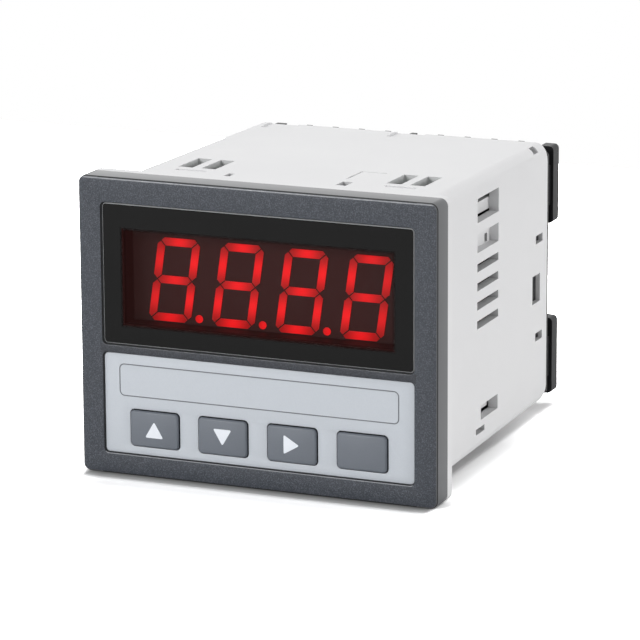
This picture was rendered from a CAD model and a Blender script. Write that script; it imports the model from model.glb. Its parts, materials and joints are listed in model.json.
import json
import math

import bmesh
import bpy
from mathutils import Matrix, Vector

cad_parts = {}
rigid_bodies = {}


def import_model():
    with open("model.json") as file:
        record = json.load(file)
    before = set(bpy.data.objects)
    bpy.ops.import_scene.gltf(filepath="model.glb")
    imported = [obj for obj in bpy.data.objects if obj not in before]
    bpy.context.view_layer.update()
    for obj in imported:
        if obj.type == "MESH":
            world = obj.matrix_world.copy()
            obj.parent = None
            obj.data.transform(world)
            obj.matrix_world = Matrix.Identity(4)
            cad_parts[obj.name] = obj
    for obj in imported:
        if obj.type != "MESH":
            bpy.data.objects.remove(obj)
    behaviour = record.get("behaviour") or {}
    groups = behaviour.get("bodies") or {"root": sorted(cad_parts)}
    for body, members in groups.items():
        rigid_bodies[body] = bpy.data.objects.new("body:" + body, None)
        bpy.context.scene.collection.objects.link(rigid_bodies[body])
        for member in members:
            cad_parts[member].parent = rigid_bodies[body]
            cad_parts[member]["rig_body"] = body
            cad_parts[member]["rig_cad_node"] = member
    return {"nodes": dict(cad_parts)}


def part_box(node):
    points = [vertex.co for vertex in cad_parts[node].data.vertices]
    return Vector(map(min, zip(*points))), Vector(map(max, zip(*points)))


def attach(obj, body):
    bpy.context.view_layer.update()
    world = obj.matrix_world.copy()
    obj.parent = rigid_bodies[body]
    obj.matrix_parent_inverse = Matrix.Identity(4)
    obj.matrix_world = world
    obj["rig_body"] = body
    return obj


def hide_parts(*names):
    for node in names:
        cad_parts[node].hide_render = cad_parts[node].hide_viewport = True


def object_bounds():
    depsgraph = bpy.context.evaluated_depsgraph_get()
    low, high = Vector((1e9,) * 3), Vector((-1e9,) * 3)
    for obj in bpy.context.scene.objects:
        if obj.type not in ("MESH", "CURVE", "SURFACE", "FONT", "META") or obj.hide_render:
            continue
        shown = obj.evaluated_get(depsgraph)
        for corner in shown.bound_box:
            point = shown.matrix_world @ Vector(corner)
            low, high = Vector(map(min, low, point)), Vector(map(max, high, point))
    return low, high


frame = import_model()
nodes = frame["nodes"]
cad_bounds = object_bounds()


# Housing: one moulding of pale grey plastic, drafted towards the rear, with vents, clamp slots and
# a flange. Its tool leaves a fine matt grain, which is all that its flat walls show.
class Socket:
    """An output of a material's nodes: arithmetic adds Math nodes, and node() adds any other."""

    def __init__(self, tree, socket):
        self.tree = tree
        self.socket = socket

    def node(self, kind, sockets, output=0, stops=None, **settings):
        node = self.tree.nodes.new("ShaderNode" + kind)
        for name, value in settings.items():
            setattr(node, name, value)
        if stops:
            ramp = node.color_ramp.elements
            while len(ramp) < len(stops):
                ramp.new(0.5)
            for element, (position, colour) in zip(ramp, stops):
                element.position = position
                element.color = (*colour, 1)
        for name, value in sockets.items():
            if isinstance(value, Socket):
                self.tree.links.new(value.socket, node.inputs[name])
            else:
                node.inputs[name].default_value = value
        return Socket(self.tree, node.outputs[output])

    def feed(self, shader, name):
        self.tree.links.new(self.socket, shader.inputs[name])

    def math(self, operation, first, second=0.0):
        return self.node("Math", {0: first, 1: second}, operation=operation)

    def __add__(self, other):
        return self.math("ADD", self, other)

    def __sub__(self, other):
        return self.math("SUBTRACT", self, other)

    def __rsub__(self, other):
        return self.math("SUBTRACT", other, self)

    def __mul__(self, other):
        return self.math("MULTIPLY", self, other)

    def __lt__(self, other):
        return self.math("LESS_THAN", self, other)

    def __gt__(self, other):
        return self.math("GREATER_THAN", self, other)

    def __abs__(self):
        return self.math("ABSOLUTE", self)

    __radd__ = __add__
    __rmul__ = __mul__


def new_material(name, roughness, metallic=0.0, specular=0.5):
    """Returns a material, its Principled shader and its Object coordinates."""
    material = bpy.data.materials.new(name)
    material.use_nodes = True
    tree = material.node_tree
    shader = tree.nodes["Principled BSDF"]
    shader.inputs["Roughness"].default_value = roughness
    shader.inputs["Metallic"].default_value = metallic
    shader.inputs["Specular IOR Level"].default_value = specular
    place = tree.nodes.new("ShaderNodeTexCoord").outputs["Object"]
    return material, shader, Socket(tree, place)


def grain(place, size, detail=2.0):
    """Noise between about 0 and 1 whose lumps are of the given size in metres."""
    return place.node("TexNoise", {"Vector": place, "Scale": 1 / size, "Detail": detail}, 0)


def two_tone(place, mix, low, high):
    """Colour that runs from low to high as mix goes from 0 to 1."""
    ends = [end if isinstance(end, Socket) else (*end, 1) for end in (low, high)]
    return place.node("Mix", {0: mix, 6: ends[0], 7: ends[1]}, 2, data_type="RGBA")


def bump(shader, place, height, strength, distance):
    raised = place.node("Bump", {"Height": height, "Strength": strength, "Distance": distance})
    raised.feed(shader, "Normal")


def dress(material, *names):
    """Gives CAD nodes their finish."""
    for name in names:
        slots = nodes[name].material_slots
        for slot in slots:
            slot.material = material
        if not slots:
            nodes[name].data.materials.append(material)


def housing_plastic():
    """Pale grey outside, and darker below the drafted walls, where less light comes."""
    front_half = (0.04215, 0.03605)
    lean = (0.0138, 0.0115)
    shade_from, shade_to = 0.0016, 0.006
    grain_size, flow_size = 0.0004, 0.03
    material, shader, place = new_material("housing_plastic", 0.5)
    fine = grain(place, grain_size)
    flow = grain(place, flow_size, detail=3.0)
    skin = two_tone(place, flow, (0.68, 0.68, 0.69), (0.74, 0.74, 0.745))
    across, back, up = (place.node("SeparateXYZ", {"Vector": place}, axis) for axis in "XYZ")
    side_depth = front_half[0] - back * lean[0] - abs(across)
    top_depth = front_half[1] - back * lean[1] - abs(up)
    depth = place.math("MINIMUM", side_depth, top_depth)
    inside = place.node("MapRange", {"Value": depth, "From Min": shade_from, "From Max": shade_to})
    two_tone(place, inside, skin, (0.55, 0.55, 0.55)).feed(shader, "Base Color")
    (0.46 + fine * 0.14).feed(shader, "Roughness")
    bump(shader, place, fine, strength=0.12, distance=0.00005)
    return material


dress(housing_plastic(), "housing")


# Circuit boards: green solder mask over glass fibre, with copper tracks that show as paler bands.
# They slide into rails in the housing; the display board is screwed to the bezel's posts.
def solder_mask():
    tracks_per_metre, track_edge = 260.0, 0.62
    material, shader, place = new_material("solder_mask", 0.35)
    tracks = place.node("TexVoronoi", {"Vector": place, "Scale": tracks_per_metre}, 0,
                        feature="F1", distance="MANHATTAN")
    two_tone(place, tracks > track_edge, (0.012, 0.09, 0.035), (0.03, 0.2, 0.08)).feed(
        shader, "Base Color")
    bump(shader, place, tracks, strength=0.1, distance=0.00003)
    return material


dress(solder_mask(), "signal_board", "power_board", "display_board")


# Parts on the boards: a laminated transformer with a taped coil, sleeved capacitors, relays, a
# surge disc, a fuse holder, links and chips, all soldered in place.
def moulded(name, low, high, roughness, size=0.0004):
    material, shader, place = new_material(name, roughness)
    fine = grain(place, size)
    two_tone(place, fine, low, high).feed(shader, "Base Color")
    bump(shader, place, fine, strength=0.1, distance=0.00004)
    return material


def laminations():
    sheet = 0.00035
    material, shader, place = new_material("laminations", 0.45, metallic=0.85)
    along = place.node("SeparateXYZ", {"Vector": place}, "Y")
    sheets = place.math("PINGPONG", along, sheet) * (1 / sheet)
    two_tone(place, sheets, (0.12, 0.12, 0.13), (0.3, 0.3, 0.31)).feed(shader, "Base Color")
    bump(shader, place, sheets, strength=0.4, distance=0.0001)
    return material


dress(laminations(), "transformer_core")
dress(moulded("coil_tape", (0.6, 0.38, 0.04), (0.75, 0.52, 0.08), roughness=0.35, size=0.002),
      "transformer_coil")
dress(moulded("capacitor_sleeve", (0.015, 0.02, 0.07), (0.02, 0.03, 0.1), roughness=0.25),
      "filter_capacitors")
dress(moulded("relay_case", (0.58, 0.59, 0.56), (0.64, 0.65, 0.62), roughness=0.4),
      "output_relays")
dress(moulded("dipped_disc", (0.015, 0.06, 0.25), (0.03, 0.09, 0.34), roughness=0.3),
      "surge_disc")
dress(moulded("chip_epoxy", (0.018, 0.018, 0.019), (0.026, 0.026, 0.027), roughness=0.5),
      "fuse_holder", "board_links", "signal_chips")


# Terminal blocks and rear cover: black glass-filled plastic, satin with a fine grain. The cover
# snaps into the housing and each block passes through it, with a well for every screw.
def black_plastic(name, low, high):
    grain_size = 0.00035
    material, shader, place = new_material(name, 0.42, specular=0.25)
    fine = grain(place, grain_size, detail=3.0)
    two_tone(place, fine, low, high).feed(shader, "Base Color")
    (0.36 + fine * 0.16).feed(shader, "Roughness")
    bump(shader, place, fine, strength=0.2, distance=0.00005)
    return material


dress(black_plastic("cover_plastic", (0.014, 0.014, 0.015), (0.022, 0.022, 0.024)), "rear_cover")
dress(black_plastic("block_plastic", (0.012, 0.012, 0.013), (0.018, 0.018, 0.02)),
      "upper_terminal_block", "lower_terminal_block")


# Terminals: stamped brass tabs with plated square washers, held down by cross-recess screws. The
# screws are turned steel with a slightly cloudy zinc plate, as are the cases of the key switches.
def metal(name, low, high, roughness, size):
    spread = 0.12
    material, shader, place = new_material(name, roughness, metallic=1.0)
    smear = grain(place, size, detail=3.0)
    two_tone(place, smear, low, high).feed(shader, "Base Color")
    (roughness - spread / 2 + smear * spread).feed(shader, "Roughness")
    bump(shader, place, smear, strength=0.15, distance=0.00003)
    return material


dress(metal("tinned_brass", (0.62, 0.46, 0.22), (0.76, 0.6, 0.34), roughness=0.32, size=0.0012),
      "upper_terminals", "lower_terminals")
dress(metal("nickel_plate", (0.58, 0.58, 0.57), (0.7, 0.7, 0.69), roughness=0.3, size=0.0009),
      "upper_washers", "lower_washers")
dress(metal("zinc_plate", (0.52, 0.53, 0.55), (0.68, 0.69, 0.7), roughness=0.28, size=0.0007),
      "upper_terminal_screws", "lower_terminal_screws", "board_screws", "key_switches")


# LED module: a black block whose face holds the segments, inside a black shroud. Lit segments are
# red diffusers, a little hotter in their middle, and their light colours the plastic around them.
# The push rods of the four switches beside it are black plastic too.
def lit_diffuser():
    """Each segment is brightest in its middle: the middles lie on a slanted, staggered lattice."""
    slant = math.tan(math.radians(8.3))
    digit_pitch = 0.017275
    middles = (0.00475, 0.00485)
    shift, height = 0.00065, 0.0115
    dim_from, dim_to, dimmed = 0.022, 0.034, 0.6
    material, shader, place = new_material("lit_diffuser", 0.4, specular=0.3)
    across, up = (place.node("SeparateXYZ", {"Vector": place}, axis) for axis in "XZ")
    level = up - height
    digit = place.node("Math", {0: across - shift - level * slant, 1: digit_pitch, 2: 0.0},
                       operation="WRAP")
    wave = [place.math("COSINE", away * (math.pi / middle))
            for away, middle in zip((digit - digit_pitch / 2, level), middles)]
    ends = place.node("MapRange", {"Value": abs(across), "From Min": dim_from,
                                   "From Max": dim_to, "To Min": 1.0, "To Max": dimmed})
    hot = (wave[0] * wave[1] * 0.5 + 0.5) * ends
    shader.inputs["Base Color"].default_value = (0.15, 0.004, 0.004, 1)
    shader.inputs["Emission Strength"].default_value = 1.12
    two_tone(place, hot, (0.3, 0.007, 0.007), (1.0, 0.009, 0.012)).feed(shader, "Emission Color")
    return material


def module_face():
    """Black plastic that the lit segments wash with red, less so towards its ends."""
    height = 0.0115
    side_from, side_to, side_wash = 0.024, 0.038, 0.5
    end_from, end_to, end_wash = 0.008, 0.0135, 0.4
    material, shader, place = new_material("module_face", 0.6, specular=0.2)
    across, up = (place.node("SeparateXYZ", {"Vector": place}, axis) for axis in "XZ")
    sides = place.node("MapRange", {"Value": abs(across), "From Min": side_from,
                                    "From Max": side_to, "To Min": 1.0, "To Max": side_wash},
                       interpolation_type="SMOOTHSTEP")
    ends = place.node("MapRange", {"Value": abs(up - height), "From Min": end_from,
                                   "From Max": end_to, "To Min": 1.0, "To Max": end_wash},
                      interpolation_type="SMOOTHSTEP")
    shader.inputs["Emission Strength"].default_value = 1.0
    two_tone(place, sides * ends, (0.02, 0.0133, 0.0125), (0.0477, 0.0133, 0.0125)).feed(
        shader, "Emission Color")
    two_tone(place, sides, (0.001, 0.001, 0.001), (0.002, 0.001, 0.001)).feed(shader, "Base Color")
    return material


def shroud_plastic():
    """Black plastic whose inner walls, and most of all their front rims, glow from the digits."""
    inside, rim = 0.0372, 0.0006
    material, shader, place = new_material("shroud_plastic", 0.6, specular=0.12)
    across, back = (place.node("SeparateXYZ", {"Vector": place}, axis) for axis in "XY")
    fine = grain(place, size=0.0004)
    walls = abs(across) < inside
    edge = walls * (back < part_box("display_shroud")[0].y + rim)
    shader.inputs["Emission Strength"].default_value = 1.0
    two_tone(place, walls * 0.5 + edge * 0.5, (0, 0, 0), (0.045, 0.014, 0.013)).feed(
        shader, "Emission Color")
    two_tone(place, fine, (0.001, 0.001, 0.001), (0.002, 0.002, 0.002)).feed(shader, "Base Color")
    return material


dress(lit_diffuser(), "digit_segments", "decimal_points")
dress(module_face(), "led_module")
dress(shroud_plastic(), "display_shroud")
dress(moulded("switch_plastic", (0.015, 0.015, 0.016), (0.024, 0.024, 0.025), roughness=0.5),
      "plunger_up", "plunger_down", "plunger_right", "plunger_set")


# Bezel: charcoal plastic. Its face has a coarse spark-eroded grain, and its sides, which the tool
# slides off, are smooth. The lips of its windows are rounded, and wear polishes its front edge.
def softened(node, name, materials, width, segments):
    """Copies a CAD node, rounds the edges between its front face and its walls, and replaces it."""
    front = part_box(node)[0].y
    flush, deep, upright = 0.00002, 0.0005, 0.05
    same_place, same_plane = 0.000001, math.radians(0.3)
    smooth_below = math.radians(35)
    bpy.ops.object.select_all(action="DESELECT")
    nodes[node].select_set(True)
    bpy.context.view_layer.objects.active = nodes[node]
    bpy.ops.object.duplicate()
    piece = bpy.context.object
    piece.name = name
    del piece["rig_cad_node"], piece["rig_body"]
    bpy.ops.object.mode_set(mode="EDIT")
    bpy.ops.mesh.select_all(action="SELECT")
    bpy.ops.mesh.customdata_custom_splitnormals_clear()
    bpy.ops.mesh.remove_doubles(threshold=same_place)
    bpy.ops.mesh.dissolve_limited(angle_limit=same_plane)
    bpy.ops.mesh.select_all(action="DESELECT")
    shape = bmesh.from_edit_mesh(piece.data)
    for edge in shape.edges:
        if max(abs(corner.co.y - front) for corner in edge.verts) > flush:
            continue
        walls = [face for face in edge.link_faces if abs(face.normal.y) < upright
                 and max(corner.co.y for corner in face.verts) > front + deep]
        if len(edge.link_faces) == 2 and len(walls) == 1:
            edge.select_set(True)
    bmesh.update_edit_mesh(piece.data)
    bpy.ops.mesh.select_mode(type="EDGE")
    bpy.ops.mesh.bevel(offset=width, segments=segments, affect="EDGES")
    bpy.ops.object.mode_set(mode="OBJECT")
    bpy.ops.object.shade_smooth_by_angle(angle=smooth_below)
    piece.data.materials.clear()
    for material in materials:
        piece.data.materials.append(material)
    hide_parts(node)
    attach(piece, "case")
    return piece


def bezel_plastic():
    """Grained on the face, darkest on the bar between the windows, and smooth on the sides. A dark
    line runs behind the front edges, and a worn, bright one along the top edge and the sill."""
    edge_light = (0.00002, 0.00014)
    edge_dark, lip_dark = (0.00022, 0.00055), 0.00014
    face_depth, grain_size, cloud_size = 0.0001, 0.00026, 0.0012
    window_half = 0.0425
    top_edge = 0.0375
    sill = (-0.0335, -0.0325)
    material, shader, place = new_material("bezel_plastic", 0.5)
    back = place.node("SeparateXYZ", {"Vector": place}, "Y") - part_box("bezel")[0].y
    across, up = (place.node("SeparateXYZ", {"Vector": place}, axis) for axis in "XZ")
    in_windows = abs(across) < window_half
    on_face = back < face_depth
    coarse = place.node("ValToRGB", {"Fac": grain(place, grain_size)},
                        stops=[(0.5, (0, 0, 0)), (0.68, (1, 1, 1))])
    cloud = grain(place, cloud_size)
    rough = coarse * on_face
    bar = (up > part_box("key_fascia")[1].z) * (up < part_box("display_lens")[0].z) * in_windows
    mottle = coarse * 0.8 + cloud * 0.25
    frame_face = two_tone(place, mottle, (0.027, 0.033, 0.043), (0.095, 0.104, 0.128))
    bar_face = two_tone(place, mottle, (0.018, 0.021, 0.028), (0.058, 0.063, 0.079))
    grained = two_tone(place, bar, frame_face, bar_face)
    face = two_tone(place, on_face, (0.095, 0.098, 0.104), grained)
    dark_band = (back > edge_dark[0] - in_windows * lip_dark) * (back < edge_dark[1])
    worn = (up > top_edge) + (up < sill[1]) * (up > sill[0]) * in_windows
    light_band = (back > edge_light[0]) * (back < edge_light[1]) * worn
    edged = two_tone(place, dark_band, face, (0.008, 0.009, 0.01))
    two_tone(place, light_band, edged, (0.24, 0.25, 0.27)).feed(shader, "Base Color")
    (0.3 + rough * 0.35 + dark_band * 0.4).feed(shader, "Roughness")
    bump(shader, place, rough, strength=0.4, distance=0.0001)
    return material


softened("bezel", "bezel_moulding", [bezel_plastic()], width=0.0003, segments=3)


# Display lens: smoked acrylic, pressed into the bezel's upper window. It hides all but the lit
# digits behind it, and its flame-polished edge catches the light.
def smoked_acrylic():
    """Clear and matt over the digits; printed black and glossy outside their aperture."""
    half_width, middle, half_height = 0.0364, 0.01275, 0.01225
    soft, gloss, smoke = 0.0005, 0.32, 0.15
    material, shader, place = new_material("smoked_acrylic", 0.12, specular=0.0)
    shader.inputs["Coat Roughness"].default_value = 0.12
    haze = grain(place, size=0.02)
    across, up = (place.node("SeparateXYZ", {"Vector": place}, axis) for axis in "XZ")
    past = place.math("MAXIMUM", abs(across) - half_width, abs(up - middle) - half_height)
    border = place.node("MapRange", {"Value": past, "From Min": -soft, "From Max": soft})
    print_black = two_tone(place, haze, (0.006, 0.006, 0.006), (0.008, 0.008, 0.008))
    two_tone(place, border, (0, 0, 0), print_black).feed(shader, "Base Color")
    (border * gloss).feed(shader, "Coat Weight")
    (smoke + border * (1 - smoke)).feed(shader, "Alpha")
    return material


def polished_rim():
    material, shader, place = new_material("polished_rim", 0.1)
    haze = grain(place, size=0.004)
    two_tone(place, haze, (0.42, 0.43, 0.44), (0.52, 0.53, 0.54)).feed(shader, "Base Color")
    return material


rim_slope = (-0.95, -0.3)
lens = softened("display_lens", "smoked_lens", [smoked_acrylic(), polished_rim()],
                width=0.00025, segments=1)
for face in lens.data.polygons:
    face.material_index = int(rim_slope[0] < face.normal.y < rim_slope[1])


# Key fascia: a pale film on a thin plate, with a fine engraved frame for a label. The plate lies
# in the bezel's lower window, with a narrow gap all round.
def fascia_film():
    """Pale on its face, and dark where the frame and the edges are cut through it."""
    grain_size, film_depth = 0.0003, 0.00006
    material, shader, place = new_material("fascia_film", 0.45)
    fine = grain(place, grain_size)
    back = place.node("SeparateXYZ", {"Vector": place}, "Y")
    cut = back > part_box("key_fascia")[0].y + film_depth
    film = two_tone(place, fine, (0.53, 0.565, 0.61), (0.58, 0.615, 0.66))
    two_tone(place, cut, film, (0.2, 0.21, 0.23)).feed(shader, "Base Color")
    bump(shader, place, fine, strength=0.08, distance=0.00003)
    return material


softened("key_fascia", "fascia_plate", [fascia_film()], width=0.00012, segments=2)


# Keys: four soft-edged caps in mid grey, each on its own switch. Three carry a printed arrow and
# the fourth is plain.
def key_plastic():
    """Every cap is a little crowned, which its flat solid doesn't have: the relief adds it."""
    key_pitch, half_width, half_height = 0.0187, 0.0066, 0.0053
    middle = -0.0257
    crown, lumps, grain_size = 0.0013, 0.02, 0.00035
    lit_from, lit_band, wall_from = 0.0046, (0.00002, 0.0003), 0.0005
    material, shader, place = new_material("key_plastic", 0.45)
    fine = grain(place, grain_size)
    across, up = (place.node("SeparateXYZ", {"Vector": place}, axis) for axis in "XZ")
    cell = place.node("Math", {0: across, 1: key_pitch, 2: 0.0}, operation="WRAP")
    side = (cell - key_pitch / 2) * (1 / half_width)
    rise = (up - middle) * (1 / half_height)
    relief = 1.0 - side * side * 0.5 - rise * rise * 0.5 + fine * lumps
    back = place.node("SeparateXYZ", {"Vector": place}, "Y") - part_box("key_up")[0].y
    rim = (up > middle + lit_from) * (back > lit_band[0]) * (back < lit_band[1])
    cap = two_tone(place, fine, (0.14, 0.157, 0.184), (0.16, 0.178, 0.206))
    cap = two_tone(place, rim, cap, (0.26, 0.28, 0.31))
    two_tone(place, back > wall_from, cap, (0.03, 0.033, 0.04)).feed(shader, "Base Color")
    (0.42 + fine * 0.1).feed(shader, "Roughness")
    bump(shader, place, relief, strength=1.0, distance=crown)
    return material


def arrow_ink():
    material, shader, place = new_material("arrow_ink", 0.5)
    fine = grain(place, size=0.0002)
    two_tone(place, fine, (0.8, 0.84, 0.9), (0.88, 0.91, 0.96)).feed(shader, "Base Color")
    return material


def key_arrow(name, turn):
    """Prints an arrow head in the middle of a key's face, turned by an angle from pointing up."""
    arrow_base, arrow_height, ink = 0.005, 0.0042, 0.00002
    corner, corner_steps = 0.0005, 3
    radius, centring = arrow_base / math.sqrt(3), arrow_height / 6
    low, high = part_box("key_" + name)
    middle = (low + high) / 2
    bpy.ops.object.select_all(action="DESELECT")
    bpy.ops.mesh.primitive_cylinder_add(
        vertices=3, radius=radius, depth=ink, rotation=(math.pi / 2, turn, 0),
        location=(middle.x - centring * math.sin(turn), low.y - ink / 2,
                  middle.z - centring * math.cos(turn)),
        scale=(1, arrow_height / (1.5 * radius), 1))
    bpy.ops.object.transform_apply(location=True, rotation=True, scale=True)
    arrow = bpy.context.object
    arrow.name = "arrow_" + name
    bpy.ops.object.mode_set(mode="EDIT")
    bpy.ops.mesh.select_mode(type="EDGE")
    bpy.ops.mesh.select_all(action="DESELECT")
    shape = bmesh.from_edit_mesh(arrow.data)
    for edge in shape.edges:
        edge.select_set(abs(edge.verts[0].co.y - edge.verts[1].co.y) > ink / 2)
    bmesh.update_edit_mesh(arrow.data)
    bpy.ops.mesh.bevel(offset=corner, segments=corner_steps, affect="EDGES")
    bpy.ops.mesh.select_all(action="SELECT")
    bpy.ops.mesh.normals_make_consistent(inside=False)
    bpy.ops.object.mode_set(mode="OBJECT")
    arrow.data.materials.append(ink_finish)
    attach(arrow, name + "_key")


ink_finish = arrow_ink()
dress(key_plastic(), "key_up", "key_down", "key_right", "key_set")
key_arrow("up", turn=0.0)
key_arrow("down", turn=math.pi)
key_arrow("right", turn=math.pi / 2)


# Studio: a white floor under the meter that keeps its soft shadow, and a white room. Glossy and
# transmitted rays see the same white, so that the plastics reflect it.
def studio_floor():
    """Light meets plain paper. The camera sees it darker close to the bezel and the housing, and
    whiter further off: each list gives the paper's gain at a distance, as a share of the reach.
    The shadow is short at the sides, so a distance counts for more there."""
    floor_size = 0.8
    reach = 0.2
    by_bezel = ((0.0, 0.3), (0.016, 0.7), (0.026, 1.7), (0.032, 1.7), (0.042, 1.4), (0.06, 1.37),
                (1.0, 2.2))
    by_housing = ((0.0, 0.58), (0.01, 0.6), (0.0175, 0.68), (0.026, 0.82), (0.0375, 1.15),
                  (0.0475, 1.0), (0.08, 0.93), (0.2, 1.6))
    flange_front, housing_half, corner = 0.0, 0.0385, 0.0025
    beside_counts = 3.0
    behind_from, behind_to, behind_gain = 0.05, 0.09, 2.0
    low, high = cad_bounds
    bpy.ops.object.select_all(action="DESELECT")
    bpy.ops.mesh.primitive_plane_add(size=floor_size, location=(0, 0, low.z))
    floor = bpy.context.object
    floor.name = "floor"
    material, shader, place = new_material("floor_paper", 0.9, specular=0.0)
    tint = grain(place, size=0.5)
    paper = two_tone(place, tint, (0.93, 0.93, 0.93), (0.95, 0.95, 0.95))
    across, back = (place.node("SeparateXYZ", {"Vector": place}, axis) for axis in "XY")
    gains = []
    for half, front, rear, levels in ((high.x - corner, low.y, flange_front, by_bezel),
                                      (housing_half, flange_front, high.y, by_housing)):
        beside = place.math("MAXIMUM", abs(across) - half, 0.0) * beside_counts
        beyond = place.math("MAXIMUM", abs(back - (front + rear) / 2) - (rear - front) / 2, 0.0)
        away = place.math("SQRT", beside * beside + beyond * beyond)
        gains.append(place.node("ValToRGB", {"Fac": away * (1 / reach)},
                                stops=[(share, (level,) * 3) for share, level in levels]))
    behind = place.node("MapRange", {"Value": back, "From Min": behind_from,
                                     "From Max": behind_to, "To Min": 1.0, "To Max": behind_gain})
    gain = place.node("VectorMath", {0: gains[0], 1: gains[1]}, operation="MULTIPLY")
    gain = place.node("VectorMath", {0: gain, "Scale": behind}, operation="SCALE")
    seen = place.node("LightPath", {}, "Is Camera Ray")
    two_tone(place, seen, paper, gain).feed(shader, "Base Color")
    floor.data.materials.append(material)


def studio_world(level):
    world = bpy.data.worlds.new("studio")
    bpy.context.scene.world = world
    world.use_nodes = True
    background = world.node_tree.nodes["Background"]
    room = Socket(world.node_tree, background.outputs["Background"])
    seen, glossy, through = (room.node("LightPath", {}, "Is %s Ray" % ray)
                             for ray in ("Camera", "Glossy", "Transmission"))
    white = room.math("MINIMUM", seen + glossy + through, 1.0)
    (level + white * (1 - level)).feed(background, "Strength")
    background.inputs["Color"].default_value = (1, 1, 1, 1)


def softbox(name, size, power, place, aim):
    """A square lamp at place that faces aim."""
    lamp = bpy.data.lights.new(name, "AREA")
    lamp.size = size
    lamp.energy = power
    holder = bpy.data.objects.new(name, lamp)
    bpy.context.scene.collection.objects.link(holder)
    direction = Vector(aim) - Vector(place)
    holder.rotation_euler = direction.to_track_quat("-Z", "Y").to_euler()
    holder.location = place


studio_floor()
studio_world(level=0.32)
softbox("top_box", size=0.25, power=3.5, place=(-0.05, 0.12, 0.9), aim=(0, 0.04, 0))
softbox("front_box", size=0.35, power=5.0, place=(-0.38, -0.84, 0.39), aim=(0, 0, 0))
softbox("side_box", size=0.5, power=6.8, place=(1.24, 0.3, 0.22), aim=(0, 0.04, 0))
softbox("rear_box", size=0.6, power=0.6, place=(-0.45, 1.07, 0.32), aim=(0, 0, 0))


# Camera: a long lens about a metre off, to the front right of the meter and a little above it, so
# that the face, the top and the right side show.
def studio_camera():
    stand = (0.3835, -0.8678, 0.2352)
    azimuth = math.radians(23.117)
    elevation = math.radians(13.757)
    roll = math.radians(-0.332)
    camera = bpy.data.cameras.new("camera")
    camera.lens = 221.68
    camera.sensor_width = 36.0
    camera.clip_start = 0.01
    holder = bpy.data.objects.new("camera", camera)
    bpy.context.scene.collection.objects.link(holder)
    holder.matrix_world = (
        Matrix.Translation(stand)
        @ Matrix.Rotation(azimuth, 4, "Z")
        @ Matrix.Rotation(math.pi / 2 - elevation, 4, "X")
        @ Matrix.Rotation(roll, 4, "Z"))
    bpy.context.scene.camera = holder


studio_camera()
bpy.context.scene.view_settings.view_transform = "Standard"
